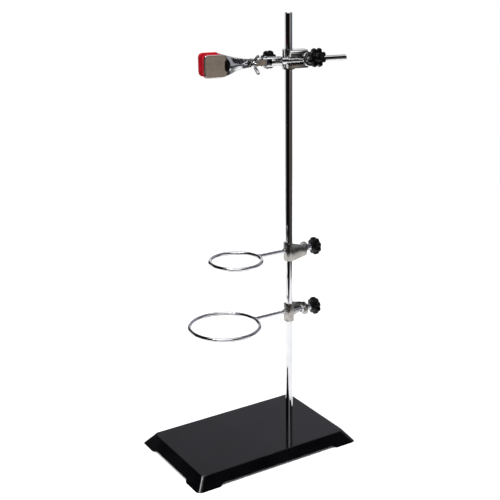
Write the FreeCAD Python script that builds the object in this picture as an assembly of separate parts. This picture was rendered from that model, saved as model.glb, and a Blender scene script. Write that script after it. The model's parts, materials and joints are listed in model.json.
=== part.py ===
import FreeCAD, Part
import math
import os

# Retort stand: a pressed steel base, a chromed upright rod, two support rings on
# hook brackets, and a two-jaw clamp held by a cast boss head.
# Millimetres. The origin is the centre of the base on the surface it stands on,
# +X runs along the base towards the rod, +Y is the back and +Z is up.

# ---- base -------------------------------------------------------------------
base_length = 260.0
base_width = 168.0
base_height = 16.0
base_flare = 13.0            # how far the skirt runs out on each side
base_sheet = 1.5
base_corner = 8.0            # corner radius in plan
base_edge_round = 3.0        # pressed radius round the top
foot_length = 34.0           # skirt that touches the bench, from each corner
foot_lift = 3.5              # height of the arch between two feet
foot_slope = 6.0             # length of the slope from a foot up to the arch

# ---- upright rod and its fixing ---------------------------------------------
rod_diameter = 10.0
rod_length = 600.0
rod_offset = 70.0            # from the base's centre, along +X
rod_chamfer = 0.8
tail_diameter = 8.0          # threaded tail under the shoulder
tail_length = 14.0
backing_side = 50.0          # square plate welded under the top
backing_thickness = 3.0
washer_diameter = 20.0
washer_thickness = 1.6
nut_across = 13.0
nut_height = 6.5

# ---- named clearances -------------------------------------------------------
slide_gap = 0.3              # radial, round a rod that a part slides on
thread_gap = 0.05            # radial, screw in its own thread
bolt_gap = 0.2               # radial, plain hole round a fixed bolt
face_gap = 0.3               # between faces that move past each other

# ---- support rings ----------------------------------------------------------
wire_diameter = 5.5
lower_ring_height = 187.8
lower_ring_radius = 48.0     # of the wire's centre line
lower_ring_reach = 106.0     # ring centre from the rod's axis
upper_ring_height = 278.3
upper_ring_radius = 35.0
upper_ring_reach = 86.2

# ---- hook bracket (same pressing on both rings) -----------------------------
bracket_sheet = 2.5
bracket_height = 25.0
bracket_length = 27.0        # rod's axis to the outer face of the end flange
bracket_taper_start = 2.0    # past the rod's axis
bracket_tip_height = 14.0    # long leg's height where it meets the flange
bracket_lip = 3.0            # short leg, past the rod's axis
bracket_bend = 3.5           # outer radius of the flange's bend
tongue_radius = 9.3          # rounded end flange
stem_offset = 1.5            # stem above the bracket's middle
weld_nut_across = 10.0
weld_nut_height = 5.0

# ---- clamping screws and star knobs -----------------------------------------
screw_diameter = 6.0
screw_point = 1.2            # length of the turned point
collar_diameter = 9.5
collar_length = 6.5
bracket_knob_reach = 36.0    # rod's axis to the back of the knob
knob_diameter = 25.0
knob_lobes = 8
knob_lobe_radius = 3.4
knob_core_diameter = 18.0    # bottom of the hollows between the lobes
knob_soft = 1.6              # rounded rim, drawn as a chamfer
knob_back_diameter = 12.5
knob_back_height = 3.0
knob_rim_height = 9.0
knob_hub_diameter = 11.5
knob_hub_height = 5.0        # dome above the rim
knob_socket_depth = 12.0     # screw end inside the knob

# ---- boss head --------------------------------------------------------------
boss_from_top = 60.4         # clamp arm's axis below the upright rod's top end
arm_azimuth = -13.0          # degrees from +X, seen from above
arm_diameter = 8.0
arm_web = 3.5                # metal between the upright rod and the arm
boss_below = 12.5            # boss's bottom and top from the arm's axis
boss_above = 13.5
boss_wall = 3.0              # round the upright rod
slab_thickness = 5.4
boss_length = 20.5           # from the upright rod's axis along the arm
dome_start = -4.0            # where the rounded top begins, along the arm
dome_round = 5.5
channel_depth = 19.5         # front of the dome from the upright rod's axis
slab_setback = 1.5           # front of the slab behind the dome's
body_back = 1.0              # back of the body in front of the upright rod's axis
arm_screw_station = 20.4     # along the arm, from the upright rod's axis
arm_screw_tilt = 11.0        # degrees up from level
arm_knob_reach = 27.0        # arm's axis to the back of the knob
arm_leg_gap = 0.6            # leg's back face in front of the arm's bore
arm_leg_thickness = 8.0      # threaded leg in front of the arm
lug_diameter = 18.5
rod_screw_azimuth = 112.5    # degrees from the arm's direction
rod_screw_drop = 4.0         # below the arm's axis
rod_knob_reach = 32.0
rod_lug_length = 18.0        # from the upright rod's axis
rod_lug_root = 8.0           # radius at the boss
rod_lug_end = 6.0            # radius at the screw

# ---- clamp ------------------------------------------------------------------
arm_right_end = 76.0         # along the arm, from the upright rod's axis
ferrule_right_end = -15.0
ferrule_left_end = -42.0
ferrule_diameter = 13.0
arm_socket_depth = 12.0      # rod inside the ferrule
fork_depth = 12.0            # open fork at the ferrule's left end
fork_cheek = 2.3             # each cheek above and below the jaws' tails
jaw_end = -123.0
jaw_sheet = 1.6
jaw_height = 28.6
jaw_pad_length = 26.0
jaw_spread = 14.0            # pad's middle from the arm's axis
jaw_waist = 9.0              # height of the neck at the closing screw
jaw_corner = 5.0
jaw_fullness = 0.22          # share of the flare reached at its middle point
jaw_middle = 0.45            # where that middle point is, as a share of the flare's length
neck_straight = 1.5          # neck past the closing screw, towards the ferrule
neck_taper = 6.0             # from there to the tail's full narrowness
jaw_rim = 2.0                # folded rim round the pad, inside the sheet
knuckle_station = -37.5      # pivot of the moving jaw, along the arm
pivot_diameter = 3.0
pivot_cap_diameter = 5.0     # riveted-over ends of the pivot pin
pivot_cap_height = 1.2
knuckle_offset = 1.4         # pivot in front of the arm's axis
neck_offset = 4.6            # each neck's middle from the arm's axis at the screw
lining_thickness = 4.5
lining_margin = 0.7          # lining beyond the sheet's edges
lining_short = 2.0           # lining's inner end before the pad's
closing_station = -55.0      # closing screw, along the arm
closing_diameter = 5.0
closing_head_diameter = 10.0
closing_head_height = 2.8
closing_slot = 2.2           # extra length of the neck's slot, each way
closing_washer_diameter = 9.0
closing_washer_thickness = 1.0
washer_standoff = 1.0        # washer clear of the neck, which tilts under it
wing_hub_diameter = 10.0
wing_hub_height = 7.0
wing_span = 25.0
wing_rise = 18.0             # wing tips above the hub's base
wing_thickness = 2.8
wing_tip_depth = 5.0
wing_root = 1.5              # from the hub's axis to where the wing starts inside the hub
closing_tail = 6.0           # screw beyond the hub
rivet_diameter = 3.0
rivet_head_diameter = 6.0
rivet_head_height = 1.2

# ---- worked out from the values above ---------------------------------------
rod_radius = rod_diameter / 2
rod_top = base_height - tail_length + rod_length
boss_height = rod_top - boss_from_top           # of the clamp arm's axis
arm_radius = arm_diameter / 2
rod_bore = rod_radius + slide_gap
arm_bore = arm_radius + slide_gap
screw_radius = screw_diameter / 2
arm_offset = rod_bore + arm_web + arm_bore      # arm's axis in front of the rod's
plate_underside = base_height - base_sheet
hook_inner = rod_radius + slide_gap
hook_outer = hook_inner + bracket_sheet
flange_inner = bracket_length - bracket_sheet

V = FreeCAD.Vector
ORIGIN, X, Y, Z = V(0, 0, 0), V(1, 0, 0), V(0, 1, 0), V(0, 0, 1)


# ---- small helpers ----------------------------------------------------------
def box(x0, x1, y0, y1, z0, z1):
    return Part.makeBox(x1 - x0, y1 - y0, z1 - z0, V(x0, y0, z0))


def rod(radius, start, direction, length):
    return Part.makeCylinder(radius, length, start, direction)


def prism(points, direction):
    """Straight-sided outline, given as points in one plane, pushed along direction."""
    outline = Part.makePolygon(points + [points[0]])
    return Part.Face(outline).extrude(direction)


def turned(points):
    """Profile of (radius, height) points turned about Z."""
    outline = [V(r, 0, z) for r, z in points]
    return Part.Face(Part.makePolygon(outline + [outline[0]])).revolve(ORIGIN, Z, 360)


def hexagon(across, height):
    """Hexagonal bar standing on Z = 0, with two flats facing along Y."""
    corner = across / math.sqrt(3)
    angles = [math.radians(60 * i) for i in range(6)]
    return prism([V(corner * math.cos(a), corner * math.sin(a), 0) for a in angles], V(0, 0, height))


def along(shape, start, direction):
    """Moves a shape made along +Z from the origin to lie along direction from start."""
    placed = shape.copy()
    placed.Placement = FreeCAD.Placement(start, FreeCAD.Rotation(Z, direction))
    return placed


def rounded(shape, radius, wanted):
    """Fillets the edges that the test picks."""
    return shape.makeFillet(radius, [edge for edge in shape.Edges if wanted(edge)])


def upright_edge(edge):
    ends = [v.Point for v in edge.Vertexes]
    return len(ends) == 2 and abs(ends[0].x - ends[1].x) < 1e-6 and abs(ends[0].y - ends[1].y) < 1e-6


def save(name, shape):
    shape = shape.removeSplitter()
    print(name, "solids", len(shape.Solids), "volume", round(shape.Volume, 1), "valid", shape.isValid())
    shape.exportStep("parts/" + name + ".step")


# ---- base -------------------------------------------------------------------
def rounded_rectangle(length, width, radius, z):
    x, y = length / 2 - radius, width / 2 - radius
    edges = []
    for quarter, (cx, cy) in enumerate([(x, y), (-x, y), (-x, -y), (x, -y)]):
        edges.append(Part.makeCircle(radius, V(cx, cy, z), Z, 90 * quarter, 90 * quarter + 90))
    ends = [(edge.Vertexes[0].Point, edge.Vertexes[-1].Point) for edge in edges]
    outline = []
    for i, edge in enumerate(edges):
        outline += [edge, Part.makeLine(ends[i][1], ends[(i + 1) % 4][0])]
    return Part.Wire(outline)


def tray(inset, top):
    """Solid block with the skirt's slope, drawn in by inset all round, up to a height."""
    lean = base_flare / base_height
    sections = []
    for z in (0.0, top):
        length = base_length - 2 * (lean * z + inset)
        width = base_width - 2 * (lean * z + inset)
        sections.append(rounded_rectangle(length, width, base_corner - inset, z))
    return Part.makeLoft(sections, True, True)


def arch(run, across, along_x):
    """Cutter that lifts the skirt between two feet, with sloping ends."""
    half, wide = run / 2 - foot_length, across / 2 + 1
    side = [(-half, -1), (-half, 0), (-half + foot_slope, foot_lift), (half - foot_slope, foot_lift),
            (half, 0), (half, -1)]
    if along_x:
        return prism([V(a, -wide, b) for a, b in side], V(0, 2 * wide, 0))
    return prism([V(-wide, a, b) for a, b in side], V(2 * wide, 0, 0))


def base_plate():
    wall = base_sheet * math.hypot(1, base_flare / base_height)
    outer = rounded(tray(0.0, base_height), base_edge_round,
                    lambda e: all(abs(v.Z - base_height) < 1e-6 for v in e.Vertexes))
    inner = rounded(tray(wall, plate_underside), base_edge_round - base_sheet,
                    lambda e: all(abs(v.Z - plate_underside) < 1e-6 for v in e.Vertexes))
    shell = outer.cut(inner)
    shell = shell.cut(arch(base_length, base_width, True)).cut(arch(base_width, base_length, False))
    hole = rod(tail_diameter / 2 + bolt_gap, V(rod_offset, 0, plate_underside - 1), Z, base_sheet + 2)
    return shell.cut(hole)


def rod_backing_plate():
    half = backing_side / 2
    z0 = plate_underside - backing_thickness
    plate = box(rod_offset - half, rod_offset + half, -half, half, z0, plate_underside)
    plate = rounded(plate, 5.0, upright_edge)
    return plate.cut(rod(tail_diameter / 2 + bolt_gap, V(rod_offset, 0, z0 - 1), Z, backing_thickness + 2))


def rod_washer():
    z0 = plate_underside - backing_thickness - washer_thickness
    disc = rod(washer_diameter / 2, V(rod_offset, 0, z0), Z, washer_thickness)
    return disc.cut(rod(tail_diameter / 2 + bolt_gap, V(rod_offset, 0, z0 - 1), Z, washer_thickness + 2))


def rod_nut():
    height = min(nut_height, tail_length - base_sheet - backing_thickness - washer_thickness - 1)
    z0 = plate_underside - backing_thickness - washer_thickness - height
    nut = hexagon(nut_across, height)
    nut = nut.cut(rod(tail_diameter / 2 + thread_gap, V(0, 0, -1), Z, height + 2))
    nut.translate(V(rod_offset, 0, z0))
    return nut


def upright_rod():
    radius, tail = rod_radius, tail_diameter / 2
    low = base_height - tail_length
    profile = [(0, low), (tail - 0.6, low), (tail, low + 0.6), (tail, base_height), (radius, base_height),
               (radius, rod_top - rod_chamfer), (radius - rod_chamfer, rod_top), (0, rod_top)]
    shape = turned(profile)
    shape.translate(V(rod_offset, 0, 0))
    return shape


# ---- hook bracket, its ring and its screw: made about the rod's axis --------
def ring(radius, reach):
    wire = wire_diameter / 2
    hoop = Part.makeTorus(radius, wire, V(-reach, 0, 0), Z)
    start = -reach + radius
    stem = rod(wire, V(start, 0, 0), X, -hook_outer - start)
    return hoop.fuse(stem)


def hook_bracket():
    half = bracket_height / 2
    hook = rod(hook_outer, V(0, 0, -half), Z, bracket_height)
    hook = hook.common(box(-hook_outer - 1, 0, -hook_outer, hook_outer, -half, half))
    leg = box(0, bracket_length, -hook_outer, -hook_inner, -half, half)
    lip = box(0, bracket_lip, hook_inner, hook_outer, -half, half)
    flange = box(flange_inner, bracket_length, -hook_outer, tongue_radius, -half, half)
    shape = hook.fuse([leg, lip, flange]).cut(rod(hook_inner, V(0, 0, -half - 1), Z, bracket_height + 2))
    shape = rounded(shape.removeSplitter(), bracket_bend, lambda e: upright_edge(e) and
                    abs(e.Vertexes[0].X - bracket_length) < 1e-6 and e.Vertexes[0].Y < 0)
    tip, wide = bracket_tip_height / 2, 2 * tongue_radius
    side = [(-hook_outer - 1, -half), (bracket_taper_start, -half), (flange_inner, -tip - 1),
            (flange_inner, tip - 1), (bracket_taper_start, half), (-hook_outer - 1, half)]
    body = prism([V(x, -wide, z) for x, z in side], V(0, 2 * wide, 0))
    tongue = rod(tongue_radius, V(flange_inner - 1, 0, 0), X, bracket_sheet + 2)
    shape = shape.common(body.fuse(tongue))
    return shape.cut(rod(screw_radius + thread_gap, V(flange_inner - 1, 0, 0), X, bracket_sheet + 2))


def weld_nut():
    nut = hexagon(weld_nut_across, weld_nut_height)
    nut = nut.cut(rod(screw_radius + thread_gap, V(0, 0, -1), Z, weld_nut_height + 2))
    return along(nut, V(flange_inner - weld_nut_height, 0, 0), X)


def clamp_screw(tip, knob_back):
    """Screw along +Z from tip to inside the knob, with the collar behind the knob."""
    end = knob_back + knob_socket_depth
    r, c = screw_radius, collar_diameter / 2
    return turned([(0, tip), (r - screw_point, tip), (r, tip + screw_point), (r, knob_back - collar_length),
                   (c - 0.5, knob_back - collar_length), (c, knob_back - collar_length + 0.5),
                   (c, knob_back - face_gap), (r, knob_back - face_gap), (r, end), (0, end)])


def star_knob():
    """Lobed knob standing on Z = 0, back face down, with a blind socket for its screw."""
    rim_top = knob_back_height + knob_rim_height
    total = rim_top + knob_hub_height
    outer = knob_diameter / 2
    lobe_at = outer - knob_lobe_radius
    star = rod(knob_core_diameter / 2, ORIGIN, Z, total)
    for i in range(knob_lobes):
        turn = math.radians((i + 0.5) * 360 / knob_lobes)
        centre = V(lobe_at * math.cos(turn), lobe_at * math.sin(turn), 0)
        star = star.fuse(rod(knob_lobe_radius, centre, Z, total))
    back, hub, soft = knob_back_diameter / 2, knob_hub_diameter / 2, knob_soft
    envelope = turned([(0, 0), (back, 0), (back, knob_back_height), (outer - soft, knob_back_height),
                       (outer, knob_back_height + soft), (outer, rim_top - soft), (outer - soft, rim_top),
                       (hub, rim_top), (hub, total - 3.0), (hub - 1.0, total - 1.2), (hub - 2.6, total - 0.3),
                       (hub - 4.0, total), (0, total)])
    socket = rod(screw_radius + thread_gap, V(0, 0, -1), Z, knob_socket_depth + face_gap + 1)
    return star.common(envelope).cut(socket)


def at_bracket(shape, ring_height, turned_over):
    """Puts a bracket's own piece on the rod; the lower bracket hangs the other way up."""
    placed = shape.copy()
    if turned_over:
        placed.rotate(ORIGIN, X, 180)
    placed.translate(V(rod_offset, 0, ring_height - stem_offset))
    return placed


def ring_holder(name, height, radius, reach, turned_over):
    hoop = ring(radius, reach)
    hoop.translate(V(rod_offset, 0, height))
    save(name + "_support_ring", hoop)
    save(name + "_ring_bracket", at_bracket(hook_bracket(), height, turned_over))
    save(name + "_bracket_nut", at_bracket(weld_nut(), height, turned_over))
    screw = clamp_screw(rod_radius + face_gap, bracket_knob_reach)
    save(name + "_bracket_screw", at_bracket(along(screw, ORIGIN, X), height, turned_over))
    knob = along(star_knob(), V(bracket_knob_reach, 0, 0), X)
    save(name + "_bracket_knob", at_bracket(knob, height, turned_over))


# ---- boss head: x along the arm, y to the back, about the upright rod -------
def arm_screw_line():
    """Direction of the screw that holds the arm, out of the boss."""
    tilt = math.radians(arm_screw_tilt)
    return V(0, -math.cos(tilt), math.sin(tilt))


def arm_screw_foot():
    return V(arm_screw_station, -arm_offset, 0)


def rod_screw_line():
    turn = math.radians(rod_screw_azimuth)
    return V(math.cos(turn), math.sin(turn), 0)


def dome_front(edge):
    """The edge between the dome's top and its front."""
    return all(v.Y < -channel_depth + 1 and v.Z > boss_above - 1 for v in edge.Vertexes)


def boss_head():
    collar = rod(rod_bore + boss_wall, V(0, 0, -boss_below), Z, boss_below + boss_above)
    front = -arm_offset + arm_bore
    left = -rod_bore - boss_wall
    slab_low = -arm_bore - slab_thickness
    web = box(left, boss_length, front, -body_back, slab_low, boss_above)
    dome = box(dome_start, boss_length, -channel_depth, -body_back, arm_bore, boss_above)
    dome = rounded(dome, min(dome_round, 0.8 * (boss_above - arm_bore)), dome_front)
    slab = box(left + 1, boss_length, -channel_depth + slab_setback, -body_back, slab_low, -arm_bore)
    foot, line = arm_screw_foot(), arm_screw_line()
    leg = rod(lug_diameter / 2, foot + line * (arm_bore + arm_leg_gap), line, arm_leg_thickness)
    lug_line = rod_screw_line()
    lug = Part.makeCone(rod_lug_root, rod_lug_end, rod_lug_length, V(0, 0, -rod_screw_drop), lug_line)
    shape = collar.fuse([web, dome, slab, leg, lug]).removeSplitter()
    shape = shape.cut(rod(rod_bore, V(0, 0, -boss_below - 1), Z, boss_below + boss_above + 2))
    shape = shape.cut(rod(arm_bore, V(left - 5, -arm_offset, 0), X, boss_length - left + lug_diameter + 10))
    shape = shape.cut(rod(screw_radius + thread_gap, foot, line, arm_leg_thickness + 20))
    shape = shape.cut(rod(screw_radius + thread_gap, V(0, 0, -rod_screw_drop), lug_line, rod_lug_length + 5))
    return shape


def at_boss(shape):
    placed = shape.copy()
    placed.rotate(ORIGIN, Z, arm_azimuth)
    placed.translate(V(rod_offset, 0, boss_height))
    return placed


def boss_parts():
    save("boss_head", at_boss(boss_head()))
    foot, line = arm_screw_foot(), arm_screw_line()
    save("arm_screw", at_boss(along(clamp_screw(arm_radius + face_gap, arm_knob_reach), foot, line)))
    save("arm_knob", at_boss(along(star_knob(), foot + line * arm_knob_reach, line)))
    foot, line = V(0, 0, -rod_screw_drop), rod_screw_line()
    save("rod_screw", at_boss(along(clamp_screw(rod_radius + face_gap, rod_knob_reach), foot, line)))
    save("rod_knob", at_boss(along(star_knob(), foot + line * rod_knob_reach, line)))


# ---- clamp: x along the arm, y to the back, about the arm's axis ------------
def at_clamp(shape):
    placed = shape.copy()
    placed.translate(V(0, -arm_offset, 0))
    return at_boss(placed)


def clamp_arm():
    r, length = arm_radius, arm_right_end - ferrule_right_end + arm_socket_depth
    bar = turned([(0, 0), (r, 0), (r, length - 1), (r - 1, length), (0, length)])
    return along(bar, V(ferrule_right_end - arm_socket_depth, 0, 0), X)


def fork_half_height():
    return ferrule_diameter / 2 - fork_cheek


def clamp_ferrule():
    r, length = ferrule_diameter / 2, ferrule_right_end - ferrule_left_end
    barrel = turned([(0, 0), (r - 0.8, 0), (r, 0.8), (r, length - 1.5), (r - 1.5, length), (0, length)])
    barrel = along(barrel, V(ferrule_left_end, 0, 0), X)
    socket = rod(arm_radius, V(ferrule_right_end - arm_socket_depth, 0, 0), X, arm_socket_depth + 1)
    half = fork_half_height()
    spine_front = knuckle_radius() - knuckle_offset + face_gap
    spine_back = neck_offset - jaw_sheet / 2
    fork = box(ferrule_left_end - 1, ferrule_left_end + fork_depth, -r - 1, spine_front, -half, half)
    seat = box(ferrule_left_end - 1, ferrule_left_end + fork_depth, spine_back, r + 1, -r - 1, r + 1)
    pin = rod(pivot_diameter / 2, V(knuckle_station, -knuckle_offset, -r - 1), Z, 2 * r + 2)
    rivet = rod(rivet_diameter / 2, V(knuckle_station, 0, 0), Y, r)
    return barrel.cut(socket).cut(fork).cut(seat).cut(pin).cut(rivet)


def knuckle_radius():
    return pivot_diameter / 2 + thread_gap + jaw_sheet


def jaw_side():
    """Side view of a jaw, in the XZ plane, from its narrow tail to its broad pad."""
    waist, high = jaw_waist / 2, jaw_height / 2
    tail = fork_half_height() - face_gap
    neck, pad = closing_station + neck_straight, jaw_end + jaw_pad_length
    middle = closing_station + jaw_middle * (pad - closing_station)
    corner = (1 - math.sqrt(0.5)) * jaw_corner

    def upper(sign):
        return [V(0, 0, sign * tail), V(neck + neck_taper, 0, sign * tail), V(neck, 0, sign * waist)]

    top, low = upper(1), upper(-1)
    edges = [Part.makePolygon(top)]
    flare_end = V(pad, 0, high)
    corner_in, corner_out = V(jaw_end + jaw_corner, 0, high), V(jaw_end, 0, high - jaw_corner)
    flare_mid = V(middle, 0, waist + jaw_fullness * (high - waist))
    corner_mid = V(jaw_end + corner, 0, high - corner)

    def flip(p):
        return V(p.x, p.y, -p.z)

    curves = [Part.Arc(top[-1], flare_mid, flare_end).toShape(), Part.makeLine(flare_end, corner_in),
              Part.Arc(corner_in, corner_mid, corner_out).toShape(),
              Part.makeLine(corner_out, flip(corner_out)),
              Part.Arc(flip(corner_out), flip(corner_mid), flip(corner_in)).toShape(),
              Part.makeLine(flip(corner_in), flip(flare_end)),
              Part.Arc(flip(flare_end), flip(flare_mid), low[-1]).toShape()]
    tail_edges = edges[0].Edges + curves + Part.makePolygon(low[::-1]).Edges
    tail_edges.append(Part.makeLine(low[0], top[0]))
    return Part.Face(Part.Wire(Part.__sortEdges__(tail_edges)))


def jaw_strip(start, side):
    """Plan view of a jaw's bent sheet; side is -1 for the front jaw and 1 for the back."""
    half = jaw_sheet / 2
    pad = jaw_end + jaw_pad_length
    neck_end = closing_station - closing_head_diameter / 2 - 1
    line = [start, V(neck_end, side * neck_offset, 0), V(pad + 4, side * jaw_spread, 0),
            V(jaw_end, side * jaw_spread, 0)]
    wire = Part.makePolygon([p - V(0, 0, jaw_height) for p in line])
    outline = wire.makeOffset2D(half, 2, False, True)
    other = wire.makeOffset2D(-half, 2, False, True)
    a, b = [v.Point for v in outline.OrderedVertexes], [v.Point for v in other.OrderedVertexes]
    return prism(a + b[::-1], V(0, 0, 2 * jaw_height))


def pad_block(inset, front, back, side):
    """Block on the pad's outline, drawn in by inset; front and back are distances from the arm's axis."""
    high, x0 = jaw_height / 2 - inset, jaw_end + inset
    block = box(x0, jaw_end + jaw_pad_length - lining_short, front, back, -high, high)
    block = rounded(block, jaw_corner - inset, lambda e: all(v.X < x0 + 0.01 for v in e.Vertexes) and
                    abs(e.Vertexes[0].Y - e.Vertexes[-1].Y) > 1)
    return block if side > 0 else block.mirror(ORIGIN, Y)


def jaw(start, side):
    sheet = jaw_strip(start, side)
    outline, wide = jaw_side(), 2 * jaw_spread
    outline.translate(V(0, -wide, 0))
    inner = jaw_spread - jaw_sheet / 2
    rim = pad_block(0.0, inner - jaw_rim, inner + jaw_sheet / 2, side)
    rim = rim.cut(pad_block(jaw_sheet, inner - jaw_rim, inner + jaw_sheet / 2, side))
    return sheet.common(outline.extrude(V(0, 2 * wide, 0))).fuse(rim)


def fixed_jaw():
    start = V(ferrule_left_end + fork_depth, neck_offset, 0)
    shape = jaw(start, 1)
    shape = shape.cut(rod(rivet_diameter / 2, V(knuckle_station, 0, 0), Y, 20))
    return shape.cut(rod(closing_diameter / 2 + bolt_gap, V(closing_station, 0, 0), Y, 20))


def moving_jaw():
    r = knuckle_radius()
    half = fork_half_height() - face_gap
    start = V(knuckle_station, -knuckle_offset - r + jaw_sheet / 2, 0)
    knuckle = rod(r, V(knuckle_station, -knuckle_offset, -half), Z, 2 * half)
    shape = jaw(start, -1).fuse(knuckle)
    bore = rod(pivot_diameter / 2 + thread_gap, V(knuckle_station, -knuckle_offset, -half - 1), Z,
               2 * half + 2)
    wide, tall = closing_diameter / 2 + closing_slot, closing_diameter / 2 + slide_gap
    slot = box(closing_station - wide + tall, closing_station + wide - tall, -20, 0, -tall, tall)
    for end in (-1, 1):
        slot = slot.fuse(rod(tall, V(closing_station + end * (wide - tall), -20, 0), Y, 20))
    return shape.cut(bore).cut(slot)


def jaw_lining(side):
    """Lining with a core that fills the folded rim and a face that covers the rim's edge."""
    inner = jaw_spread - jaw_sheet / 2
    core = pad_block(jaw_sheet, inner - lining_thickness, inner, side)
    face = pad_block(-lining_margin, inner - lining_thickness, inner - jaw_rim, side)
    return core.fuse(face)


def pivot_pin():
    r = ferrule_diameter / 2
    head, shank = pivot_cap_diameter / 2, pivot_diameter / 2
    pin = rod(shank, V(0, 0, -r), Z, 2 * r)
    for end in (-1, 1):
        cap = turned([(0, 0), (head, 0), (head - 0.6, 0.75 * pivot_cap_height), (0, pivot_cap_height)])
        pin = pin.fuse(along(cap, V(0, 0, end * r), Z * end))
    pin.translate(V(knuckle_station, -knuckle_offset, 0))
    return pin


def jaw_rivet():
    """Rivet that holds the fixed jaw's tail to the ferrule's spine."""
    back = neck_offset + jaw_sheet / 2
    front = knuckle_radius() - knuckle_offset + face_gap
    shank = rod(rivet_diameter / 2, V(knuckle_station, front, 0), Y, back - front)
    head = turned([(0, 0), (rivet_head_diameter / 2, 0), (rivet_head_diameter / 2 - 0.8, rivet_head_height),
                   (0, rivet_head_height + 0.3)])
    return shank.fuse(along(head, V(knuckle_station, back, 0), Y))


def nut_seat():
    """How far in front of the arm's axis the closing washer's back face lies."""
    return neck_offset + jaw_sheet / 2 + washer_standoff


def closing_screw():
    back = neck_offset + jaw_sheet / 2
    r, h = closing_diameter / 2, closing_head_diameter / 2
    length = back + nut_seat() + closing_washer_thickness + wing_hub_height + closing_tail
    screw = turned([(0, -closing_head_height), (h - 1.6, -closing_head_height), (h - 0.4, -1.4), (h, -0.6),
                    (h, 0), (r, 0), (r, length - 0.8), (r - 0.8, length), (0, length)])
    return along(screw, V(closing_station, back, 0), Y * -1)


def closing_washer():
    r, hole = closing_washer_diameter / 2, closing_diameter / 2 + bolt_gap
    ring_shape = turned([(hole, 0), (r, 0), (r, closing_washer_thickness), (hole, closing_washer_thickness)])
    return along(ring_shape, V(closing_station, -nut_seat(), 0), Y * -1)


def wing_nut():
    """Hub and two swept wings, standing on Z = 0 with the wings along X."""
    hub, top = wing_hub_diameter / 2, wing_hub_height
    body = turned([(0, 0), (hub, 0), (hub - 0.8, top - 0.8), (hub - 1.6, top), (0, top)])
    half = wing_thickness / 2
    tip = wing_span / 2
    for side in (-1, 1):
        points = [(wing_root, 0.8), (hub + 1.0, 1.6), (tip - 1.6, wing_rise - wing_tip_depth),
                  (tip, wing_rise - wing_tip_depth / 2), (tip - 0.8, wing_rise - 0.4),
                  (tip - 3.2, wing_rise), (tip - 5.4, wing_rise - wing_tip_depth / 2),
                  (hub - 0.6, top - 0.8), (wing_root, top - 1.5)]
        outline = [V(side * x, -half, z) for x, z in points]
        wing = prism(outline, V(0, wing_thickness, 0))
        body = body.fuse(wing)
    return body.cut(rod(closing_diameter / 2 + thread_gap, V(0, 0, -1), Z, wing_rise + 2))


def closing_wing_nut():
    nut = wing_nut()
    nut.rotate(ORIGIN, Z, 90)
    seat = nut_seat() + closing_washer_thickness + 0.02
    nut.rotate(ORIGIN, X, 90)
    nut.translate(V(closing_station, -seat, 0))
    return nut


def clamp_parts():
    save("clamp_arm", at_clamp(clamp_arm()))
    save("clamp_ferrule", at_clamp(clamp_ferrule()))
    save("fixed_jaw", at_clamp(fixed_jaw()))
    save("moving_jaw", at_clamp(moving_jaw()))
    save("fixed_jaw_lining", at_clamp(jaw_lining(1)))
    save("moving_jaw_lining", at_clamp(jaw_lining(-1)))
    save("jaw_pivot_pin", at_clamp(pivot_pin()))
    save("fixed_jaw_rivet", at_clamp(jaw_rivet()))
    save("closing_screw", at_clamp(closing_screw()))
    save("closing_washer", at_clamp(closing_washer()))
    save("closing_wing_nut", at_clamp(closing_wing_nut()))


# ---- the whole stand --------------------------------------------------------
os.makedirs("parts", exist_ok=True)
save("base_plate", base_plate())
save("rod_backing_plate", rod_backing_plate())
save("rod_washer", rod_washer())
save("rod_nut", rod_nut())
save("upright_rod", upright_rod())
ring_holder("lower", lower_ring_height, lower_ring_radius, lower_ring_reach, True)
ring_holder("upper", upper_ring_height, upper_ring_radius, upper_ring_reach, False)
boss_parts()
clamp_parts()
print("arm's axis is", round(arm_offset, 2), "in front of the upright rod's axis")
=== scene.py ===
# %% [markdown]
# # Retort stand
# A laboratory stand: a pressed, enamelled steel base, a chromed upright rod, two support rings on hook
# brackets, and a two-jaw clamp in a cast boss head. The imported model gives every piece's place and size,
# and this script gives each piece its finish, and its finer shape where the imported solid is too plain.

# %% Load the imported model
import json
import math
import bmesh
import bpy
from mathutils import Matrix, Vector

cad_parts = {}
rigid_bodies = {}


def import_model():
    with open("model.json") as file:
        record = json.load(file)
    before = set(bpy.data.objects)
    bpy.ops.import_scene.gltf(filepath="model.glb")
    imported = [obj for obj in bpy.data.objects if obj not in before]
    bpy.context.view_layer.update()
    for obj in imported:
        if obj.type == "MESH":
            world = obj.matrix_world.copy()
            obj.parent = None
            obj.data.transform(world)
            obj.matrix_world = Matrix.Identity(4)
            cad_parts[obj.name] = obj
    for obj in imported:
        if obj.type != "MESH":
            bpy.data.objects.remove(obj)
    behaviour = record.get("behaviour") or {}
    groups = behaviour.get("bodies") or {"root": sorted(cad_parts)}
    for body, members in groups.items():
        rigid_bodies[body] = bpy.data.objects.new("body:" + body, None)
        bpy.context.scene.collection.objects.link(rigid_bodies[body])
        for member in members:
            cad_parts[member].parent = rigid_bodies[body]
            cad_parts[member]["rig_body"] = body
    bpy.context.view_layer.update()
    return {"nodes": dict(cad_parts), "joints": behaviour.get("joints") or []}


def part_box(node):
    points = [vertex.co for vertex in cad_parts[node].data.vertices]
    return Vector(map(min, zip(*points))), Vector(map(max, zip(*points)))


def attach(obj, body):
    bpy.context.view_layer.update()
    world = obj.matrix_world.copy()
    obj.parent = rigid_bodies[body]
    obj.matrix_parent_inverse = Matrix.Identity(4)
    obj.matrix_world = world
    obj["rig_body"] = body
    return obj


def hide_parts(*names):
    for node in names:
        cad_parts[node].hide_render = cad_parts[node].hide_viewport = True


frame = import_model()
nodes = frame["nodes"]
MM = 0.001

# %% [markdown]
# Most pieces sit about one of three places: the upright rod's axis, the boss head, which is turned on the
# rod, and the clamp arm's axis in front of it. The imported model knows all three, so they are measured
# from it. Each place is a matrix that takes millimetres about that spot to metres in the scene.

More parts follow.
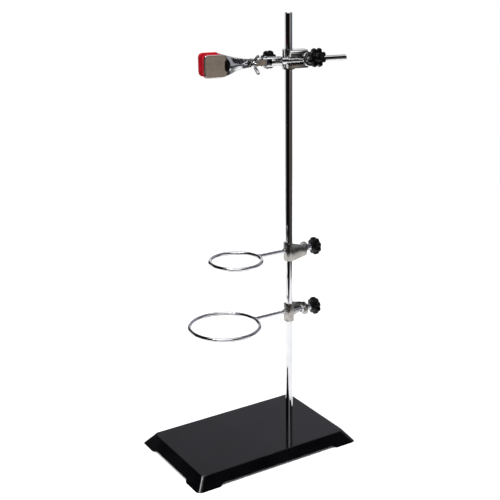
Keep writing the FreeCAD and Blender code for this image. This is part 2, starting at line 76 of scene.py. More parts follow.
# %% Measure the three places
joints = {joint["name"]: joint for joint in frame["joints"]}


def middle(node):
    low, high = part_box(node)
    return (low + high) / 2


rod_x, rod_y = middle("upright_rod").xy
arm_height = middle("clamp_ferrule").z
arm_line = Vector(joints["arm_slide"]["axis"])
arm_turn = math.atan2(arm_line.y, arm_line.x)
if abs(arm_turn) > math.pi / 2:
    arm_turn -= math.copysign(math.pi, arm_turn)
millimetres = Matrix.Scale(MM, 4)


def at_rod(height):
    return Matrix.Translation((rod_x, rod_y, height)) @ millimetres


at_boss = at_rod(arm_height) @ Matrix.Rotation(arm_turn, 4, "Z")
arm_offset = -(at_boss.inverted() @ middle("clamp_arm")).y
at_clamp = at_boss @ Matrix.Translation((0, -arm_offset, 0))
print("rod at", round(rod_x / MM, 1), "arm at", round(arm_height / MM, 1), "turned",
      round(math.degrees(arm_turn), 1), "degrees,", round(arm_offset, 2), "mm in front of the rod")

# %% [markdown]
# ## Finishes
# Every finish starts from one Principled shader. Its colour is written as an sRGB hex value, as on a
# paint chart, and one function turns it to the linear colour that the shader needs.

# %% Colour and node helpers


def linear(code, strength=1.0):
    parts = [int(code[i:i + 2], 16) / 255 for i in (0, 2, 4)]
    light = [c / 12.92 if c <= 0.04045 else ((c + 0.055) / 1.055) ** 2.4 for c in parts]
    return tuple(strength * c for c in light) + (1.0,)


def add_node(tree, kind, settings={}, inputs={}):
    """Adds a node; an input is a value, or the output socket that it is linked to."""
    node = tree.nodes.new(kind)
    for name, value in settings.items():
        setattr(node, name, value)
    for name, value in inputs.items():
        if isinstance(value, bpy.types.NodeSocket):
            tree.links.new(value, node.inputs[name])
        else:
            node.inputs[name].default_value = value
    return node


print("paint-chart grey 808080 is", round(linear("808080")[0], 3), "in linear light")


# %% [markdown]
# No real surface is even. Plating and paint are a little dirtier and duller in some places, over spots of
# several millimetres, and carry finer marks from how they were made. Each finish has those two scales:
# broad spots move the colour and the gloss, and fine marks raise the surface by a few micrometres.

# %% A finish with broad spots and fine marks


def finish(name, dark, light, spots, smooth, rough, marks, raised, stretch=(1, 1, 1), **sockets):
    """Sizes are in millimetres; smooth and rough are the two ends of the roughness."""
    material = bpy.data.materials.new(name)
    material.use_nodes = True
    tree = material.node_tree
    shader = tree.nodes["Principled BSDF"]
    for socket, value in sockets.items():
        shader.inputs[socket.replace("_", " ")].default_value = value
    place = add_node(tree, "ShaderNodeTexCoord").outputs["Object"]
    drawn_out = add_node(tree, "ShaderNodeMapping", {}, {"Vector": place, "Scale": stretch})
    broad = add_node(tree, "ShaderNodeTexNoise", {}, {
        "Vector": place, "Scale": 1 / (spots * MM), "Detail": 4})
    fine = add_node(tree, "ShaderNodeTexNoise", {}, {
        "Vector": drawn_out.outputs["Vector"], "Scale": 1 / (marks * MM), "Detail": 3})
    share = add_node(tree, "ShaderNodeMapRange", {}, {
        "Value": broad.outputs["Fac"], "From Min": 0.3, "From Max": 0.7})
    gloss = add_node(tree, "ShaderNodeMapRange", {}, {
        "Value": share.outputs["Result"], "To Min": smooth, "To Max": rough})
    colour = add_node(tree, "ShaderNodeMix", {"data_type": "RGBA"}, {
        0: share.outputs["Result"], 6: linear(dark), 7: linear(light)})
    bump = add_node(tree, "ShaderNodeBump", {}, {"Height": fine.outputs["Fac"], "Distance": raised * MM})
    tree.links.new(colour.outputs[2], shader.inputs["Base Color"])
    tree.links.new(gloss.outputs["Result"], shader.inputs["Roughness"])
    tree.links.new(bump.outputs["Normal"], shader.inputs["Normal"])
    print("finish", name, "with spots of", spots, "mm and marks of", marks, "mm")
    return material


# %% [markdown]
# The base is pressed sheet with black stoving enamel. Sprayed enamel flows out to a hard gloss with a very
# faint orange peel of 2 to 3 mm, so its reflections are clear but not quite as straight as in glass.

# %% Stoving enamel: a deep black gloss that mirrors the rod and the far side of the room
enamel = finish("stoving_enamel", "040405", "08080a", 40, 0.05, 0.12, marks=2.6, raised=0.015, IOR=1.5)

# %% [markdown]
# Chrome plate on drawn rod, wire and sheet is nearly a mirror. What shows that it is metal are the faint
# lengthwise marks left by drawing and polishing. Real ones are finer than a picture can show, so they
# are drawn at about a millimetre across, and very shallow.

# %% Chrome plate: sharp, dark-and-white reflections with faint marks along the rod
rod_chrome = finish("chromed_drawn_rod", "c2c3c6", "cfd0d2", 25, 0.03, 0.09, marks=0.8, raised=0.002,
                    stretch=(1, 1, 0.02), Metallic=1.0)
ring_chrome = finish("chromed_wire", "c6c7ca", "d6d7d9", 14, 0.03, 0.1, marks=1.2, raised=0.003, Metallic=1.0)
jaw_chrome = finish("chromed_pressed_sheet", "bfc0c2", "d2d3d4", 9, 0.05, 0.14, marks=7, raised=0.02,
                    Metallic=1.0)

# %% [markdown]
# The hook brackets are sheet with bright nickel over a brushed face, the screws and nuts are bright
# zinc, and the boss head is a plated casting, whose skin keeps the fine grain of the mould.

# %% Nickel, zinc and casting: softer metals that blur what they mirror
bracket_nickel = finish("nickel_on_brushed_sheet", "8a8783", "a9a6a2", 6, 0.16, 0.26, marks=0.8, raised=0.003,
                        stretch=(0.05, 0.05, 1), Metallic=1.0)
zinc_steel = finish("bright_zinc_steel", "b4b6ba", "cfd0d2", 5, 0.14, 0.28, marks=0.7, raised=0.006,
                    Metallic=1.0)
boss_casting = finish("plated_casting", "b8b9ba", "d4d5d6", 6, 0.1, 0.26, marks=1.4, raised=0.014,
                      Metallic=1.0)

# %% [markdown]
# The star knobs are black moulded phenolic: a smooth, slightly soft gloss, with a little dust in spots
# that lightens it. The jaw linings are red moulded rubber, dull against the chrome.

# %% Phenolic and rubber: black that only shows small highlights, and a deep matt red
phenolic = finish("moulded_phenolic", "030303", "080808", 4, 0.18, 0.3, marks=0.9, raised=0.008, IOR=1.55,
                  Specular_IOR_Level=0.16)
red_rubber = finish("moulded_red_rubber", "9c0618", "b60a1f", 6, 0.42, 0.6, marks=0.9, raised=0.012, IOR=1.52,
                    Specular_IOR_Level=0.3)

# %% [markdown]
# The record names one slot for each kind of surface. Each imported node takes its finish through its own
# object's slot, so that its mesh is left alone.

# %% Give each node its finish
finish_of_slot = {
    "base_enamel": enamel, "rod_chrome": rod_chrome, "ring_chrome": ring_chrome,
    "bracket_plate": bracket_nickel, "boss_casting": boss_casting, "screw_steel": zinc_steel,
    "knob_plastic": phenolic, "jaw_chrome": jaw_chrome, "jaw_lining": red_rubber}
for node in nodes.values():
    for kept in node.material_slots:
        slot_name = kept.material.name.split(".")[0]
        kept.link = "OBJECT"
        kept.material = finish_of_slot[slot_name]
print(len(finish_of_slot), "slots for", len(nodes), "nodes")

# %% [markdown]
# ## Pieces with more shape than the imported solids
# New pieces are drawn in millimetres about the spot they belong to, then taken to their place in one
# step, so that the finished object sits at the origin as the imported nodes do.

# %% Make a piece


def new_piece(name, shape, place, body, material, slot, *stands_for, sharp=40):
    bmesh.ops.remove_doubles(shape, verts=shape.verts, dist=1e-3)
    bmesh.ops.recalc_face_normals(shape, faces=shape.faces)
    shape.transform(place)
    mesh = bpy.data.meshes.new(name)
    shape.to_mesh(mesh)
    shape.free()
    mesh.materials.append(material)
    for face in mesh.polygons:
        face.use_smooth = True
    mesh.set_sharp_from_angle(angle=math.radians(sharp))
    piece = bpy.data.objects.new(name, mesh)
    bpy.context.scene.collection.objects.link(piece)
    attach(piece, body)
    if stands_for:
        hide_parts(*stands_for)
    print(name, "rides on", body, "and has", len(mesh.polygons), "faces")
    return piece


# %% [markdown]
# Each star knob is one moulding: a short neck, a rim of eight lobes and a domed hub. It could be a disc
# with eight cylinders joined on, but a ring of vertices that is extruded from level to level, and pressed
# in at eight places, gives lobes that round over smoothly, as a mould makes them.

# %% One star knob
KNOB_LOBES, KNOB_RADIUS, SCREW_RADIUS = 8, 12.5, 3.0
STEPS_PER_LOBE = 16
bore = SCREW_RADIUS + 0.05
knob_levels = [  # height, radius, depth of the hollows between the lobes
    (12.3, 0.0, 0), (12.3, bore, 0), (0.25, bore, 0), (0.0, bore + 0.3, 0), (0.0, 5.8, 0), (0.4, 6.2, 0),
    (2.6, 6.3, 0), (2.95, 6.8, 0), (3.05, 8.3, 0.2), (3.3, 10.2, 1.6), (3.9, 11.5, 2.6), (4.9, 12.25, 3.1),
    (6.2, KNOB_RADIUS, 3.2), (7.5, KNOB_RADIUS, 3.2), (7.6, KNOB_RADIUS + 0.05, 3.2), (7.7, KNOB_RADIUS, 3.2),
    (9.0, KNOB_RADIUS, 3.2), (10.3, 12.25, 3.1), (11.3, 11.5, 2.6), (11.9, 10.2, 1.5), (12.15, 8.6, 0.4),
    (12.0, 7.0, 0), (12.1, 6.1, 0), (12.5, 5.8, 0), (14.2, 5.6, 0), (15.4, 5.0, 0), (16.3, 3.9, 0),
    (16.85, 2.2, 0), (17.0, 0.0, 0)]


def grow(shape, loop, moved):
    """Extrudes a loop of edges; moved gives each new vertex its place. Returns the new loop."""
    made = bmesh.ops.extrude_edge_only(shape, edges=loop)["geom"]
    fresh = {part for part in made if isinstance(part, bmesh.types.BMVert)}
    for vert in fresh:
        vert.co = moved(vert.co)
    return [part for part in made if isinstance(part, bmesh.types.BMEdge) and set(part.verts) <= fresh]


def star_knob():
    shape = bmesh.new()
    bmesh.ops.create_circle(shape, cap_ends=False, radius=1, segments=KNOB_LOBES * STEPS_PER_LOBE)
    loop = shape.edges[:]
    for number, (height, radius, hollow) in enumerate(knob_levels):
        def level(at):
            angle = math.atan2(at.y, at.x)
            pressed = abs(math.cos(angle * KNOB_LOBES / 2)) ** 5
            reach = max(radius - hollow * pressed, 1e-4)
            return Vector((reach * math.cos(angle), reach * math.sin(angle), height))
        if number == 0:
            for vert in shape.verts:
                vert.co = level(vert.co)
        else:
            loop = grow(shape, loop, level)
    return shape


print("a knob is drawn from", len(knob_levels), "levels")

# %% [markdown]
# A knob and its screw lie on one line, which starts on the axis of the rod that they clamp. The bracket
# screws press along X. The arm's screw comes from the front, tilted up, and the rod's screw from the back
# left. Only the screws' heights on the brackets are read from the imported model, as the rest is fixed in
# the boss head.

# %% Lines of the four screws
ARM_SCREW_TILT, ARM_SCREW_ALONG = math.radians(11), 20.4
ROD_SCREW_TURN, ROD_SCREW_UP = math.radians(112.5), -4
BRACKET_KNOB_BACK, ARM_KNOB_BACK, ROD_KNOB_BACK = 36, 27, 32  # mm from the axis that the line starts on


def facing(direction, start=(0, 0, 0)):
    """Takes a shape made up the Z axis to one that points along direction from start."""
    return Matrix.Translation(start) @ Vector(direction).to_track_quat("Z", "Y").to_matrix().to_4x4()


def middle_height(node):
    low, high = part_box(node)
    return (low.z + high.z) / 2


arm_screw_line = (0, -math.cos(ARM_SCREW_TILT), math.sin(ARM_SCREW_TILT))
rod_screw_line = (math.cos(ROD_SCREW_TURN), math.sin(ROD_SCREW_TURN), 0)
screws = {
    "lower_bracket": (at_rod(middle_height("lower_bracket_screw")), facing((1, 0, 0)), BRACKET_KNOB_BACK),
    "upper_bracket": (at_rod(middle_height("upper_bracket_screw")), facing((1, 0, 0)), BRACKET_KNOB_BACK),
    "arm": (at_clamp, facing(arm_screw_line, (ARM_SCREW_ALONG, 0, 0)), ARM_KNOB_BACK),
    "rod": (at_boss, facing(rod_screw_line, (0, 0, ROD_SCREW_UP)), ROD_KNOB_BACK)}
print("knob backs in mm:", {name: back for name, (place, line, back) in screws.items()})

# %% Put a knob on each line
knob_bodies = {
    "lower_bracket": "lower_knob", "upper_bracket": "upper_knob", "arm": "arm_knob", "rod": "rod_knob"}
for name, (place, line, knob_back) in screws.items():
    new_piece(f"{name}_star_knob", star_knob(), place @ line @ Matrix.Translation((0, 0, knob_back)),
              knob_bodies[name], phenolic, "knob_plastic", f"{name}_knob", sharp=50)

# %% [markdown]
# A screw thread is one V-shaped ridge wound round a rod. A spin with a rise per step makes exactly that:
# the outline of one ridge climbs by one pitch in each turn, and each turn meets the one before it. The
# ends are cut square and closed, and a turned point and collar are added.

# %% A screw thread
THREAD_DEPTH, CREST_FROM, CREST_TO = 0.54, 0.44, 0.56  # shares of the pitch


def thread(shape, radius, low, high, pitch=1.0, steps=16):
    root = radius - THREAD_DEPTH * pitch
    ridge = [(root, 0), (radius, CREST_FROM * pitch), (radius, CREST_TO * pitch), (root, pitch)]
    before = set(shape.verts)
    verts = [shape.verts.new((across, 0, low - pitch + up)) for across, up in ridge]
    edges = [shape.edges.new(pair) for pair in zip(verts, verts[1:])]
    turns = math.ceil((high - low) / pitch) + 1
    bmesh.ops.spin(shape, geom=verts + edges, cent=(0, 0, 0), axis=(0, 0, 1), dvec=(0, 0, pitch / steps),
                   angle=math.tau * turns, steps=steps * turns)
    bmesh.ops.remove_doubles(shape, verts=shape.verts, dist=1e-3)
    for height, up in ((low, -1), (high, 1)):
        wound = [v for v in shape.verts if v not in before]
        parts = wound + list({e for v in wound for e in v.link_edges})
        parts += list({f for v in wound for f in v.link_faces})
        cut = bmesh.ops.bisect_plane(shape, geom=parts, plane_co=(0, 0, height), plane_no=(0, 0, up),
                                     clear_outer=True)
        rim = [e for e in cut["geom_cut"] if isinstance(e, bmesh.types.BMEdge)]
        bmesh.ops.holes_fill(shape, edges=rim, sides=0)


print("a thread's ridge is", THREAD_DEPTH, "of its pitch deep")

# %% Clamping screws
ARM_RADIUS, TIP_GAP = 4.0, 0.3


def turned(shape, profile, segments=48):
    """Adds the surface that a profile of (radius, height) points makes when it turns about Z."""
    verts = [shape.verts.new((max(radius, 0), 0, height)) for radius, height in profile]
    edges = [shape.edges.new(pair) for pair in zip(verts, verts[1:])]
    bmesh.ops.spin(shape, geom=verts + edges, cent=(0, 0, 0), axis=(0, 0, 1), angle=math.tau,
                   steps=segments, use_merge=True)
    bmesh.ops.remove_doubles(shape, verts=shape.verts, dist=1e-3)


def clamping_screw(tip, knob_back, collar=6.5):
    shape = bmesh.new()
    thread(shape, SCREW_RADIUS, tip + 1.4, knob_back - collar)
    root = SCREW_RADIUS - 0.56
    turned(shape, [(0, tip), (SCREW_RADIUS - 1.2, tip), (SCREW_RADIUS - 0.9, tip + 0.2), (root, tip + 0.9),
                   (root, tip + 1.5), (0, tip + 1.5)], 32)
    low, high, wide = knob_back - collar, knob_back - 0.3, 4.75
    groove = wide - 0.35
    turned(shape, [(0, low), (wide - 0.7, low), (wide, low + 0.5), (wide, low + 2.2), (groove, low + 2.5),
                   (groove, low + 3.0), (wide, low + 3.3), (wide, high - 0.4), (wide - 0.4, high),
                   (SCREW_RADIUS, high), (SCREW_RADIUS, knob_back + 12), (0, knob_back + 12)], 40)
    return shape


screw_bodies = {
    "lower_bracket": "lower_screw", "upper_bracket": "upper_screw", "arm": "arm_screw", "rod": "rod_screw"}
rod_radius = (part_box("upright_rod")[1].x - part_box("upright_rod")[0].x) / 2 / MM
for name, (place, line, knob_back) in screws.items():
    tip = (ARM_RADIUS if name == "arm" else rod_radius) + TIP_GAP
    new_piece(f"{name}_threaded_screw", clamping_screw(tip, knob_back), place @ line,
              screw_bodies[name], zinc_steel, "screw_steel", f"{name}_screw", sharp=30)

# %% [markdown]
# Sawn, cast and pressed pieces never have knife edges: the edges are broken by tumbling, plating or the
# mould, and that thin round is what catches the light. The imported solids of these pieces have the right
# shape with sharp edges, so a merged copy of each is bevelled by a few tenths of a millimetre.

# %% Edges broken by tumbling and plating


def broken_edges(node, new_name, width, slot, segments=2):
    body = nodes[node]["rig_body"]
    shape = bmesh.new()
    shape.from_mesh(nodes[node].data)
    shape.transform(Matrix.Scale(1 / MM, 4))
    bmesh.ops.remove_doubles(shape, verts=shape.verts, dist=2e-3)
    bmesh.ops.dissolve_limit(shape, angle_limit=math.radians(1), verts=shape.verts, edges=shape.edges)
    hard = [e for e in shape.edges if len(e.link_faces) == 2 and e.calc_face_angle() > math.radians(32)]
    bmesh.ops.bevel(shape, geom=hard, offset=width, offset_type="OFFSET", affect="EDGES", segments=segments,
                    profile=0.5, material=-1, clamp_overlap=True)
    new_piece(new_name, shape, millimetres, body, finish_of_slot[slot], slot, node, sharp=38)


for level in ("lower", "upper"):
    broken_edges(f"{level}_ring_bracket", f"{level}_hook_plate", 0.35, "bracket_plate")
    broken_edges(f"{level}_bracket_nut", f"{level}_weld_nut", 0.25, "screw_steel")
broken_edges("clamp_ferrule", "forked_ferrule", 0.3, "boss_casting")
broken_edges("boss_head", "cast_boss_head", 0.6, "boss_casting", 3)

# %% [markdown]
# The ring's wire is butted to its stem, and the stem to the bracket, with small weld beads that the chrome
# has run over. Each bead is a ball, flattened and made a little uneven, that sits over the joint.

# %% Weld beads
STEM_FOOT, BEAD_INSET = -8.6, 1.2  # from the rod's axis, and from the ring's near edge
WIRE_BEAD, STEM_BEAD = (3.6, 4.6, 3.15), (1.6, 3.7, 3.7)  # half sizes
UNEVEN = 0.05
for level in ("lower", "upper"):
    low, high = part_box(f"{level}_support_ring")
    height, near_edge = (low.z + high.z) / 2, (low.x + high.y - low.y - rod_x) / MM
    shape = bmesh.new()
    for centre, size in (((near_edge - BEAD_INSET, 0, 0), WIRE_BEAD), ((STEM_FOOT, 0, 0), STEM_BEAD)):
        bead = bmesh.ops.create_icosphere(shape, subdivisions=4, radius=1)["verts"]
        for vert in bead:
            lump = (1 + UNEVEN * math.sin(5 * vert.co.x + 3) * math.sin(6 * vert.co.y + 1)
                    * math.cos(4 * vert.co.z))
            vert.co = Vector([axis * along for axis, along in zip(vert.co * lump, size)]) + Vector(centre)
    new_piece(f"{level}_ring_welds", shape, at_rod(height), f"{level}_ring_holder", ring_chrome,
              "ring_chrome")

# %% [markdown]
# Each jaw is pressed from one sheet: a flat pad with its rim folded in, a flare stiffened by a raised
# ridge, a narrow neck with a hole for the closing screw, and a tail at the ferrule. It is drawn as a grid
# that is bent into that surface, given its rim by extruding the pad's border, and thickened at the end.

# %% Jaw surface
JAW_END, PAD_START, NECK_END, SCREW_AT = -123.0, -97.0, -61.0, -55.0
PAD_HALF, CORNER, SHEET, RIM = 14.3, 5.0, 1.6, 2.8
SPREAD, NECK_OFFSET, KNUCKLE = 14.0, 4.6, (-37.5, -1.4)
ROWS, COLUMN_STEP = 16, 0.8
HOLE_RADIUS, HOLE_STEPS, RIDGE_HEIGHT = 2.8, 12, 3.0


def blend_up(low, high, value):
    """0 at low, 1 at high and smooth between them."""
    share = min(max((value - low) / (high - low), 0), 1)
    return share * share * (3 - 2 * share)


def jaw_half(along):
    """Half the height of the sheet's middle at a place along the arm."""
    pad, waist, tail = PAD_HALF - SHEET / 2, 4.5, 3.9
    if along > SCREW_AT + 1.5:
        return waist + (tail - waist) * blend_up(SCREW_AT + 1.5, SCREW_AT + 7.5, along)
    if along > PAD_START:
        share = (SCREW_AT + 1.5 - along) / (SCREW_AT + 1.5 - PAD_START)
        return waist + (pad - waist) * (0.45 * share ** 1.5 + 0.55 * share ** 2.6)
    into = JAW_END + CORNER - along
    corner = CORNER - SHEET / 2
    return pad - (corner - math.sqrt(max(corner ** 2 - into ** 2, 0)) if into > 0 else 0)


def jaw_out(along, tail_at, tail_out):
    """How far the sheet's middle lies from the arm's axis."""
    near = tail_out + (NECK_OFFSET - tail_out) * blend_up(0, tail_at - NECK_END, tail_at - along)
    return near + (SPREAD - NECK_OFFSET) * blend_up(0, NECK_END - PAD_START, NECK_END - along)


def ridge(along, across):
    """Extra distance outwards that stiffens the flare, highest in the middle of the sheet."""
    soft = 0.12
    peak = 1 - (math.hypot(across, soft) - soft) / (math.hypot(1, soft) - soft)
    return RIDGE_HEIGHT * peak * blend_up(PAD_START, PAD_START + 9, along) * (1 - blend_up(-76, -61, along))


def jaw(side, tail_at, tail_out, slot_half):
    """side is -1 for the front jaw and 1 for the back; slot_half is half the length of the screw's hole."""
    hole = [SCREW_AT + slot_half * math.cos(math.pi * k / HOLE_STEPS) for k in range(HOLE_STEPS + 1)]
    columns = [tail_at - COLUMN_STEP * k for k in range(200)]
    columns = [x for x in columns if x > JAW_END + SHEET / 2 + 0.3]
    columns = [x for x in columns if abs(x - SCREW_AT) > slot_half + 0.3] + hole + [JAW_END + SHEET / 2]
    columns.sort(reverse=True)
    first = columns.index(hole[0])
    shape = bmesh.new()
    count = len(columns) - 1
    bmesh.ops.create_grid(shape, x_segments=count, y_segments=ROWS, size=0.5)

    def cell(at):
        return (at.x + 0.5) * count, (at.y + 0.5) * ROWS

    punched = []
    for face in shape.faces:
        column, row = cell(face.calc_center_median())
        if first < column < first + HOLE_STEPS and abs(row - ROWS / 2) < ROWS / 4:
            punched.append(face)
    bmesh.ops.delete(shape, geom=punched, context="FACES")
    for vert in shape.verts:
        column, row = cell(vert.co)
        along, across = columns[round(column)], 2 * row / ROWS - 1
        half = jaw_half(along)
        inner, past = half / 2, abs(along - SCREW_AT) - (slot_half - HOLE_RADIUS)
        if first <= round(column) <= first + HOLE_STEPS:
            inner = HOLE_RADIUS if past < 0 else math.sqrt(max(HOLE_RADIUS ** 2 - past ** 2, 0))
        if abs(across) <= 0.5:
            up = 2 * across * inner
        else:
            up = math.copysign(inner + (2 * abs(across) - 1) * (half - inner), across)
        vert.co = (along, side * (jaw_out(along, tail_at, tail_out) + ridge(along, across)), up)
    bmesh.ops.remove_doubles(shape, verts=shape.verts, dist=1e-3)
    border = [e for e in shape.edges if e.is_boundary and all(v.co.x < PAD_START - 0.5 for v in e.verts)]
    grow(shape, border, lambda at: at - Vector((0, side * RIM * blend_up(0, 6, PAD_START - 0.5 - at.x), 0)))
    return shape


print("jaw from", JAW_END, "mm, pad to", PAD_START, "mm, neck to", NECK_END, "mm along the arm")

# %% Both jaws
FOLD, CUT_EDGE, FOLD_ANGLE = 1.7, 0.3, math.radians(50)
BACK_TAIL, BACK_SLOT, FRONT_SLOT = -30.0, 2.7, 4.7
FRONT_TAIL_OUT = 3.75


def pressed_sheet(piece):
    """Rounds the fold, gives the sheet its thickness and breaks its cut edges."""
    for kind, settings in (("BEVEL", {"width": FOLD * MM, "segments": 3, "limit_method": "ANGLE",
                                      "angle_limit": FOLD_ANGLE}),
                           ("SOLIDIFY", {"thickness": SHEET * MM, "offset": 0}),
                           ("BEVEL", {"width": CUT_EDGE * MM, "segments": 2, "limit_method": "ANGLE",
                                      "angle_limit": FOLD_ANGLE}),
                           ("WEIGHTED_NORMAL", {})):
        modifier = piece.modifiers.new(kind.lower(), kind)
        for name, value in settings.items():
            setattr(modifier, name, value)


back_jaw = new_piece("back_jaw_pressing", jaw(1, BACK_TAIL, NECK_OFFSET, BACK_SLOT), at_clamp,
                     "clamp_head", jaw_chrome, "jaw_chrome", "fixed_jaw", sharp=180)
front_jaw = new_piece("front_jaw_pressing", jaw(-1, KNUCKLE[0], FRONT_TAIL_OUT, FRONT_SLOT), at_clamp,
                      "moving_jaw", jaw_chrome, "jaw_chrome", "moving_jaw", sharp=180)
for piece in (back_jaw, front_jaw):
    pressed_sheet(piece)

# %% [markdown]
# The front jaw's tail is rolled into a knuckle that turns on the pivot pin. It is a short sleeve with
# broken ends, so its outline is turned about the pin.

# %% Knuckle of the front jaw
KNUCKLE_BORE, KNUCKLE_RADIUS, KNUCKLE_HALF, BROKEN = 1.55, 3.15, 3.9, 0.3
knuckle = bmesh.new()
turned(knuckle, [
    (KNUCKLE_BORE, -KNUCKLE_HALF), (KNUCKLE_RADIUS - BROKEN, -KNUCKLE_HALF),
    (KNUCKLE_RADIUS, -KNUCKLE_HALF + BROKEN), (KNUCKLE_RADIUS, KNUCKLE_HALF - BROKEN),
    (KNUCKLE_RADIUS - BROKEN, KNUCKLE_HALF), (KNUCKLE_BORE, KNUCKLE_HALF), (KNUCKLE_BORE, -KNUCKLE_HALF)], 40)
new_piece("front_jaw_knuckle", knuckle, at_clamp @ Matrix.Translation((*KNUCKLE, 0)), "moving_jaw",
          jaw_chrome, "jaw_chrome")

# %% [markdown]
# The red linings are moulded to snap into the folded rims: a core inside the rim, and a wider face whose
# lip covers the rim's edge, a little crowned where it grips. A loop on a rounded oblong is extruded from
# level to level, as for the knobs.

# %% Jaw linings


def lining(side):
    half_x, half_z, widest = 12.35, 15.0, 9.4
    centre = JAW_END - 0.7 + half_x
    grip = [(0.98, 8.95), (0.94, 8.7), (0.85, 8.6), (0.6, 8.5), (0.3, 8.46), (0.0, 8.45)]
    core = [(1.0, 10.6), (0.99, 11.0), (0.97, 11.2), (0.84, 11.2), (0.84, 13.1), (0.0, 13.1)]
    shape = bmesh.new()
    bmesh.ops.create_circle(shape, cap_ends=False, radius=1, segments=96)
    bmesh.ops.rotate(shape, verts=shape.verts, matrix=Matrix.Rotation(math.pi / 96, 3, "Z"))
    for vert in shape.verts:
        across, up = vert.co.xy
        corner = CORNER + 0.7 if across < 0 else 1.5
        vert.co = (centre + math.copysign(half_x - corner, across) + corner * across, side * widest,
                   math.copysign(half_z - corner, up) + corner * up)
    edge_loop = shape.edges[:]
    for levels in (grip, core):
        loop, last = edge_loop, 1.0
        for share, out in levels:
            scale = share / last
            loop = grow(shape, loop, lambda at: Vector(
                (centre + (at.x - centre) * scale, side * out, at.z * scale)))
            last = share
    return shape


new_piece("back_jaw_pad", lining(1), at_clamp, "clamp_head", red_rubber, "jaw_lining",
          "fixed_jaw_lining", sharp=60)
new_piece("front_jaw_pad", lining(-1), at_clamp, "moving_jaw", red_rubber, "jaw_lining",
          "moving_jaw_lining", sharp=60)

# %% [markdown]
# The jaws are drawn together by a domed screw from the back jaw, with a washer and a wing nut in front.
# The head is turned from its outline and the thread is wound as on the clamping screws. The wing nut is
# one casting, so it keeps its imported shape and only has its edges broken.

# %% Closing screw and wing nut
screw_back = NECK_OFFSET + SHEET / 2
shape = bmesh.new()
turned(shape, [(0, -2.8), (1.6, -2.75), (3.0, -2.4), (4.2, -1.6), (4.85, -0.7), (5, -0.2), (4.9, 0), (2.4, 0),
               (2.4, 1.6), (0, 1.6)], 48)
thread(shape, 2.5, 1.6, 25.4, pitch=0.8)
new_piece("domed_closing_screw", shape, at_clamp @ facing((0, -1, 0), (SCREW_AT, screw_back, 0)),
          "clamp_head", zinc_steel, "screw_steel", "closing_screw", sharp=30)
broken_edges("closing_wing_nut", "wing_nut", 0.6, "screw_steel", 3)

# %% [markdown]
# ## Studio
# The floor is a pale table that ends a little in front of the stand and well behind it. It is one flat
# grid, as nothing of it shows but its even tone and the stand's soft shadow.

# %% Floor
FLOOR_WIDE, FLOOR_DEEP, FLOOR_MIDDLE, FLOOR_TURN = 1.5, 2.0, (-0.05, 0.54, 0), math.radians(-45)
floor_mesh = bmesh.new()
bmesh.ops.create_grid(floor_mesh, x_segments=1, y_segments=1, size=0.5)
bmesh.ops.scale(floor_mesh, vec=(FLOOR_WIDE, FLOOR_DEEP, 1), verts=floor_mesh.verts)
bmesh.ops.translate(floor_mesh, vec=FLOOR_MIDDLE, verts=floor_mesh.verts)
bmesh.ops.rotate(floor_mesh, cent=(0, 0, 0), matrix=Matrix.Rotation(FLOOR_TURN, 3, "Z"),
                 verts=floor_mesh.verts)
floor_data = bpy.data.meshes.new("floor")
floor_mesh.to_mesh(floor_data)
floor_mesh.free()
floor = bpy.data.objects.new("floor", floor_data)
bpy.context.scene.collection.objects.link(floor)
floor_data.materials.append(finish("pale_table", "f4f4f4", "f7f7f7", 60, 0.6, 0.7, marks=3, raised=0.01))
print("floor of", FLOOR_WIDE, "by", FLOOR_DEEP, "m")

# %% [markdown]
# Polished metal shows what is around it, so the room matters as much as the lamps. It could be built from
# card and cloth, but painting it on the world by direction is lighter: dark all round, with a broad grey
# glow to the right and behind, smaller panels of grey and white, white below and a soft white ceiling.
# Rays that come straight from the camera see plain white instead, so the picture's ground is white.

# %% World
world = bpy.data.worlds.new("studio")
bpy.context.scene.world = world
world.use_nodes = True
tree = world.node_tree
direction = add_node(tree, "ShaderNodeTexCoord").outputs["Generated"]


def towards(azimuth, elevation):
    """Unit direction; azimuth 0 is straight in front of the stand, and 90 is to its right."""
    turn, lift = math.radians(azimuth), math.radians(elevation)
    return Vector((math.sin(turn) * math.cos(lift), -math.cos(turn) * math.cos(lift), math.sin(lift)))


panels = [  # azimuth, elevation, radius and soft edge in degrees, colour, strength
    (118, 24, 58, 50, "a9a7b0", 1.0), (4, -10, 12, 6, "9a8b7e", 1.0), (58, -14, 30, 16, "5c5c60", 1.0),
    (33, 10, 22, 6, "b8bcc2", 1.0), (148, -8, 31, 6, "ffffff", 1.0), (-150, -6, 22, 10, "ffffff", 1.0),
    (-31, 40, 25, 7, "ffffff", 1.6),
    (0, 90, 30, 9, "ffffff", 1.7), (0, -90, 58, 8, "ffffff", 1.0)]
room = linear("141112")
for azimuth, elevation, radius, edge, colour, strength in panels:
    near = add_node(tree, "ShaderNodeVectorMath", {"operation": "DOT_PRODUCT"}, {
        0: direction, 1: tuple(towards(azimuth, elevation))})
    share = add_node(tree, "ShaderNodeMapRange", {"interpolation_type": "SMOOTHSTEP"}, {
        "Value": near.outputs["Value"], "From Min": math.cos(math.radians(radius)),
        "From Max": math.cos(math.radians(radius - edge))})
    room = add_node(tree, "ShaderNodeMix", {"data_type": "RGBA"}, {
        0: share.outputs["Result"], 6: room, 7: linear(colour, strength)}).outputs[2]
around = tree.nodes["Background"]
tree.links.new(room, around.inputs["Color"])
white = add_node(tree, "ShaderNodeBackground", {}, {"Color": linear("ffffff"), "Strength": 1.0})
seen = add_node(tree, "ShaderNodeLightPath").outputs["Is Camera Ray"]
mixed = add_node(tree, "ShaderNodeMixShader", {}, {0: seen, 1: around.outputs[0], 2: white.outputs[0]})
tree.links.new(mixed.outputs[0], tree.nodes["World Output"].inputs["Surface"])
print("room with", len(panels), "panels")

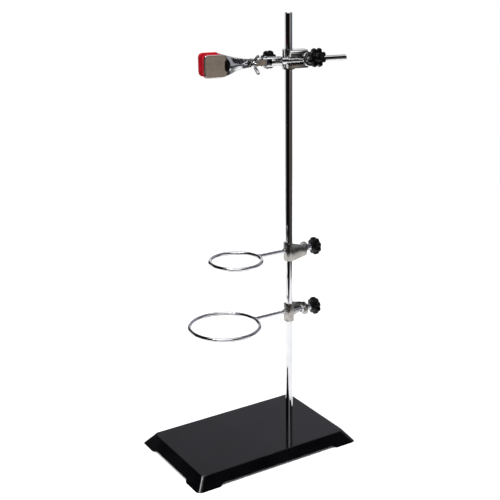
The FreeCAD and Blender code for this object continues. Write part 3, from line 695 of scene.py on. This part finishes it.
# %% [markdown]
# The lamps are soft boxes: rectangles large enough for soft shadows. The wide one overhead and the one on
# the left light the table and the enamel, and are hidden from mirror reflections, because their outlines
# would cut them up. Two narrow strips are left visible, for thin highlights.

# %% Lamps
AIM_HEIGHT = 0.3


def soft_box(name, line, distance, width, tall, power, in_metal=False):
    """A rectangular lamp that faces the stand's middle."""
    lamp = bpy.data.lights.new(name, "AREA")
    lamp.shape, lamp.size, lamp.size_y, lamp.energy = "RECTANGLE", width, tall, power
    holder = bpy.data.objects.new(name, lamp)
    holder.matrix_world = (Matrix.Translation(line * distance + Vector((0, 0, AIM_HEIGHT)))
                           @ line.to_track_quat("Z", "Y").to_matrix().to_4x4())
    holder.visible_glossy = in_metal
    bpy.context.scene.collection.objects.link(holder)
    print(name, "of", width, "by", tall, "m and", power, "W")


soft_box("top_light", towards(160, 84), 2.2, 2.4, 2.4, 68)
soft_box("left_light", towards(-80, 35), 1.6, 0.5, 1.2, 10)
for turn in (-76, -60):
    soft_box("strip_light", towards(turn, 55), 1.5, 0.12, 0.45, 2.5, True)

# %% [markdown]
# The camera looks at the stand from its front left and a little above, through a long lens that keeps the
# rod's sides nearly parallel. Its turn, its pitch and the slight roll are set as a matrix of its own right,
# up and backward directions.

# %% Camera
CAMERA_AT = (-0.66694, -1.10016, 0.71451)
camera_turn = math.radians(31.4695)
camera = bpy.data.objects.new("camera", bpy.data.cameras.new("camera"))
camera.data.lens, camera.data.sensor_width = 72, 36
pitch, roll = math.radians(18.2110), math.radians(-0.8271)
look = Vector((math.sin(camera_turn) * math.cos(pitch), math.cos(camera_turn) * math.cos(pitch),
               -math.sin(pitch)))
level = Vector((math.cos(camera_turn), -math.sin(camera_turn), 0))
upward = level.cross(look)
right = math.cos(roll) * level + math.sin(roll) * upward
top = math.cos(roll) * upward - math.sin(roll) * level
camera.matrix_world = Matrix.Translation(CAMERA_AT) @ Matrix((right, top, -look)).transposed().to_4x4()
bpy.context.scene.collection.objects.link(camera)
bpy.context.scene.camera = camera
bpy.context.scene.view_settings.view_transform = "Standard"
print("camera", round(camera.matrix_world.translation.length, 2), "m from the base's middle")
